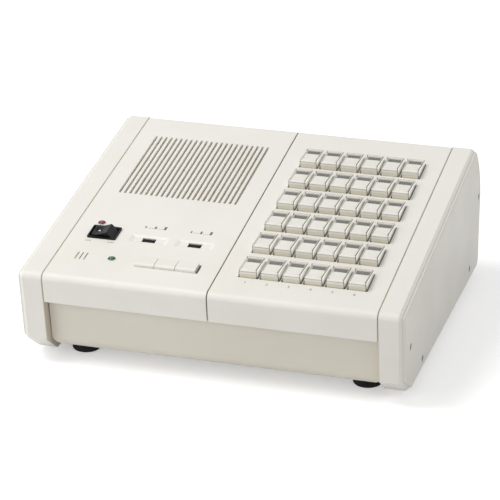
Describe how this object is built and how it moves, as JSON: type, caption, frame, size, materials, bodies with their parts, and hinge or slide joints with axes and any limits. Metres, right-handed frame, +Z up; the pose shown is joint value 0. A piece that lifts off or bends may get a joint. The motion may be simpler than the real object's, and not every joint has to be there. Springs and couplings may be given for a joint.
{
  "type": "desk intercom",
  "caption": "Sloped desk intercom console with a slotted speaker grille, a matrix of station keys, push keys, slide controls, a rocker power switch and indicator lamps.",
  "frame": {"origin": "bottom centre of the bounding box, on the table plane under the feet", "axes": "+Z up, +X to the right seen from the user's side, -Y towards the user"},
  "size_m": [0.341, 0.3212, 0.1334],
  "materials": {
    "cheek": "fine moulded texture, satin",
    "side_plate": "satin enamel",
    "screw": "zinc plated",
    "panel": "fine moulded texture, satin",
    "tray": "fine moulded texture, satin",
    "foot": "dull",
    "speaker_frame": "satin",
    "speaker_cone": "pressed paper",
    "rocker": "polished",
    "rocker_housing": "fine texture",
    "red_lamp": "clear epoxy",
    "green_lamp": "clear epoxy",
    "slide_knob": "fine texture",
    "push_key": "satin",
    "selector_key": "satin cap under a clear cover",
    "board": "solder mask",
    "microphone": "bead finish",
    "transformer": "varnished laminations",
    "terminals": "moulded"
  },
  "bodies": {
    "console": {"left_cheek": "cheek", "right_cheek": "cheek", "side_plates": "side_plate", "side_screws": "screw", "control_panel": "panel", "selector_panel": "panel", "base_tray": "tray", "rubber_feet": "foot", "speaker_basket": "speaker_frame", "speaker_cone": "speaker_cone", "rocker_housing": "rocker_housing", "power_lamp": "red_lamp", "busy_lamp": "green_lamp", "control_board": "board", "selector_board": "board", "microphone": "microphone", "transformer": "transformer", "rear_terminals": "terminals"},
    "power_rocker": {"power_rocker": "rocker"},
    "volume_slider": {"volume_slider": "slide_knob"},
    "tone_slider": {"tone_slider": "slide_knob"},
    "push_key_left": {"push_key_left": "push_key"},
    "push_key_middle": {"push_key_middle": "push_key"},
    "push_key_right": {"push_key_right": "push_key"},
    "key_a1": {"key_a1": "selector_key"},
    "key_a2": {"key_a2": "selector_key"},
    "key_a3": {"key_a3": "selector_key"},
    "key_a4": {"key_a4": "selector_key"},
    "key_a5": {"key_a5": "selector_key"},
    "key_a6": {"key_a6": "selector_key"},
    "key_b1": {"key_b1": "selector_key"},
    "key_b2": {"key_b2": "selector_key"},
    "key_b3": {"key_b3": "selector_key"},
    "key_b4": {"key_b4": "selector_key"},
    "key_b5": {"key_b5": "selector_key"},
    "key_b6": {"key_b6": "selector_key"},
    "key_c1": {"key_c1": "selector_key"},
    "key_c2": {"key_c2": "selector_key"},
    "key_c3": {"key_c3": "selector_key"},
    "key_c4": {"key_c4": "selector_key"},
    "key_c5": {"key_c5": "selector_key"},
    "key_c6": {"key_c6": "selector_key"},
    "key_d1": {"key_d1": "selector_key"},
    "key_d2": {"key_d2": "selector_key"},
    "key_d3": {"key_d3": "selector_key"},
    "key_d4": {"key_d4": "selector_key"},
    "key_d5": {"key_d5": "selector_key"},
    "key_d6": {"key_d6": "selector_key"},
    "key_e1": {"key_e1": "selector_key"},
    "key_e2": {"key_e2": "selector_key"},
    "key_e3": {"key_e3": "selector_key"},
    "key_e4": {"key_e4": "selector_key"},
    "key_e5": {"key_e5": "selector_key"},
    "key_e6": {"key_e6": "selector_key"},
    "key_f1": {"key_f1": "selector_key"},
    "key_f2": {"key_f2": "selector_key"},
    "key_f3": {"key_f3": "selector_key"},
    "key_f4": {"key_f4": "selector_key"},
    "key_f5": {"key_f5": "selector_key"},
    "key_f6": {"key_f6": "selector_key"}
  },
  "joints": [
    {"name": "rocker_tilt", "type": "hinge", "parent": "console", "child": "power_rocker", "pos_m": [-0.1175, -0.08277, 0.09568], "axis": [0, -0.9885, -0.1513], "range_deg": [0, 20]},
    {"name": "volume_slide", "type": "slide", "parent": "console", "child": "volume_slider", "axis": [1, 0, 0], "range_m": [-0.003, 0.003]},
    {"name": "tone_slide", "type": "slide", "parent": "console", "child": "tone_slider", "axis": [1, 0, 0], "range_m": [-0.003, 0.003]},
    {"name": "push_key_left_press", "type": "slide", "parent": "console", "child": "push_key_left", "axis": [0, 0.1513, -0.9885], "range_m": [0, 0.0025], "stiffness_N_per_m": 250, "springref_m": -0.001},
    {"name": "push_key_middle_press", "type": "slide", "parent": "console", "child": "push_key_middle", "axis": [0, 0.1513, -0.9885], "range_m": [0, 0.0025], "stiffness_N_per_m": 250, "springref_m": -0.001},
    {"name": "push_key_right_press", "type": "slide", "parent": "console", "child": "push_key_right", "axis": [0, 0.1513, -0.9885], "range_m": [0, 0.0025], "stiffness_N_per_m": 250, "springref_m": -0.001},
    {"name": "key_a1_press", "type": "slide", "parent": "console", "child": "key_a1", "axis": [0, 0.1513, -0.9885], "range_m": [0, 0.0025], "stiffness_N_per_m": 250, "springref_m": -0.001},
    {"name": "key_a2_press", "type": "slide", "parent": "console", "child": "key_a2", "axis": [0, 0.1513, -0.9885], "range_m": [0, 0.0025], "stiffness_N_per_m": 250, "springref_m": -0.001},
    {"name": "key_a3_press", "type": "slide", "parent": "console", "child": "key_a3", "axis": [0, 0.1513, -0.9885], "range_m": [0, 0.0025], "stiffness_N_per_m": 250, "springref_m": -0.001},
    {"name": "key_a4_press", "type": "slide", "parent": "console", "child": "key_a4", "axis": [0, 0.1513, -0.9885], "range_m": [0, 0.0025], "stiffness_N_per_m": 250, "springref_m": -0.001},
    {"name": "key_a5_press", "type": "slide", "parent": "console", "child": "key_a5", "axis": [0, 0.1513, -0.9885], "range_m": [0, 0.0025], "stiffness_N_per_m": 250, "springref_m": -0.001},
    {"name": "key_a6_press", "type": "slide", "parent": "console", "child": "key_a6", "axis": [0, 0.1513, -0.9885], "range_m": [0, 0.0025], "stiffness_N_per_m": 250, "springref_m": -0.001},
    {"name": "key_b1_press", "type": "slide", "parent": "console", "child": "key_b1", "axis": [0, 0.1513, -0.9885], "range_m": [0, 0.0025], "stiffness_N_per_m": 250, "springref_m": -0.001},
    {"name": "key_b2_press", "type": "slide", "parent": "console", "child": "key_b2", "axis": [0, 0.1513, -0.9885], "range_m": [0, 0.0025], "stiffness_N_per_m": 250, "springref_m": -0.001},
    {"name": "key_b3_press", "type": "slide", "parent": "console", "child": "key_b3", "axis": [0, 0.1513, -0.9885], "range_m": [0, 0.0025], "stiffness_N_per_m": 250, "springref_m": -0.001},
    {"name": "key_b4_press", "type": "slide", "parent": "console", "child": "key_b4", "axis": [0, 0.1513, -0.9885], "range_m": [0, 0.0025], "stiffness_N_per_m": 250, "springref_m": -0.001},
    {"name": "key_b5_press", "type": "slide", "parent": "console", "child": "key_b5", "axis": [0, 0.1513, -0.9885], "range_m": [0, 0.0025], "stiffness_N_per_m": 250, "springref_m": -0.001},
    {"name": "key_b6_press", "type": "slide", "parent": "console", "child": "key_b6", "axis": [0, 0.1513, -0.9885], "range_m": [0, 0.0025], "stiffness_N_per_m": 250, "springref_m": -0.001},
    {"name": "key_c1_press", "type": "slide", "parent": "console", "child": "key_c1", "axis": [0, 0.1513, -0.9885], "range_m": [0, 0.0025], "stiffness_N_per_m": 250, "springref_m": -0.001},
    {"name": "key_c2_press", "type": "slide", "parent": "console", "child": "key_c2", "axis": [0, 0.1513, -0.9885], "range_m": [0, 0.0025], "stiffness_N_per_m": 250, "springref_m": -0.001},
    {"name": "key_c3_press", "type": "slide", "parent": "console", "child": "key_c3", "axis": [0, 0.1513, -0.9885], "range_m": [0, 0.0025], "stiffness_N_per_m": 250, "springref_m": -0.001},
    {"name": "key_c4_press", "type": "slide", "parent": "console", "child": "key_c4", "axis": [0, 0.1513, -0.9885], "range_m": [0, 0.0025], "stiffness_N_per_m": 250, "springref_m": -0.001},
    {"name": "key_c5_press", "type": "slide", "parent": "console", "child": "key_c5", "axis": [0, 0.1513, -0.9885], "range_m": [0, 0.0025], "stiffness_N_per_m": 250, "springref_m": -0.001},
    {"name": "key_c6_press", "type": "slide", "parent": "console", "child": "key_c6", "axis": [0, 0.1513, -0.9885], "range_m": [0, 0.0025], "stiffness_N_per_m": 250, "springref_m": -0.001},
    {"name": "key_d1_press", "type": "slide", "parent": "console", "child": "key_d1", "axis": [0, 0.1513, -0.9885], "range_m": [0, 0.0025], "stiffness_N_per_m": 250, "springref_m": -0.001},
    {"name": "key_d2_press", "type": "slide", "parent": "console", "child": "key_d2", "axis": [0, 0.1513, -0.9885], "range_m": [0, 0.0025], "stiffness_N_per_m": 250, "springref_m": -0.001},
    {"name": "key_d3_press", "type": "slide", "parent": "console", "child": "key_d3", "axis": [0, 0.1513, -0.9885], "range_m": [0, 0.0025], "stiffness_N_per_m": 250, "springref_m": -0.001},
    {"name": "key_d4_press", "type": "slide", "parent": "console", "child": "key_d4", "axis": [0, 0.1513, -0.9885], "range_m": [0, 0.0025], "stiffness_N_per_m": 250, "springref_m": -0.001},
    {"name": "key_d5_press", "type": "slide", "parent": "console", "child": "key_d5", "axis": [0, 0.1513, -0.9885], "range_m": [0, 0.0025], "stiffness_N_per_m": 250, "springref_m": -0.001},
    {"name": "key_d6_press", "type": "slide", "parent": "console", "child": "key_d6", "axis": [0, 0.1513, -0.9885], "range_m": [0, 0.0025], "stiffness_N_per_m": 250, "springref_m": -0.001},
    {"name": "key_e1_press", "type": "slide", "parent": "console", "child": "key_e1", "axis": [0, 0.1513, -0.9885], "range_m": [0, 0.0025], "stiffness_N_per_m": 250, "springref_m": -0.001},
    {"name": "key_e2_press", "type": "slide", "parent": "console", "child": "key_e2", "axis": [0, 0.1513, -0.9885], "range_m": [0, 0.0025], "stiffness_N_per_m": 250, "springref_m": -0.001},
    {"name": "key_e3_press", "type": "slide", "parent": "console", "child": "key_e3", "axis": [0, 0.1513, -0.9885], "range_m": [0, 0.0025], "stiffness_N_per_m": 250, "springref_m": -0.001},
    {"name": "key_e4_press", "type": "slide", "parent": "console", "child": "key_e4", "axis": [0, 0.1513, -0.9885], "range_m": [0, 0.0025], "stiffness_N_per_m": 250, "springref_m": -0.001},
    {"name": "key_e5_press", "type": "slide", "parent": "console", "child": "key_e5", "axis": [0, 0.1513, -0.9885], "range_m": [0, 0.0025], "stiffness_N_per_m": 250, "springref_m": -0.001},
    {"name": "key_e6_press", "type": "slide", "parent": "console", "child": "key_e6", "axis": [0, 0.1513, -0.9885], "range_m": [0, 0.0025], "stiffness_N_per_m": 250, "springref_m": -0.001},
    {"name": "key_f1_press", "type": "slide", "parent": "console", "child": "key_f1", "axis": [0, 0.1513, -0.9885], "range_m": [0, 0.0025], "stiffness_N_per_m": 250, "springref_m": -0.001},
    {"name": "key_f2_press", "type": "slide", "parent": "console", "child": "key_f2", "axis": [0, 0.1513, -0.9885], "range_m": [0, 0.0025], "stiffness_N_per_m": 250, "springref_m": -0.001},
    {"name": "key_f3_press", "type": "slide", "parent": "console", "child": "key_f3", "axis": [0, 0.1513, -0.9885], "range_m": [0, 0.0025], "stiffness_N_per_m": 250, "springref_m": -0.001},
    {"name": "key_f4_press", "type": "slide", "parent": "console", "child": "key_f4", "axis": [0, 0.1513, -0.9885], "range_m": [0, 0.0025], "stiffness_N_per_m": 250, "springref_m": -0.001},
    {"name": "key_f5_press", "type": "slide", "parent": "console", "child": "key_f5", "axis": [0, 0.1513, -0.9885], "range_m": [0, 0.0025], "stiffness_N_per_m": 250, "springref_m": -0.001},
    {"name": "key_f6_press", "type": "slide", "parent": "console", "child": "key_f6", "axis": [0, 0.1513, -0.9885], "range_m": [0, 0.0025], "stiffness_N_per_m": 250, "springref_m": -0.001}
  ]
}
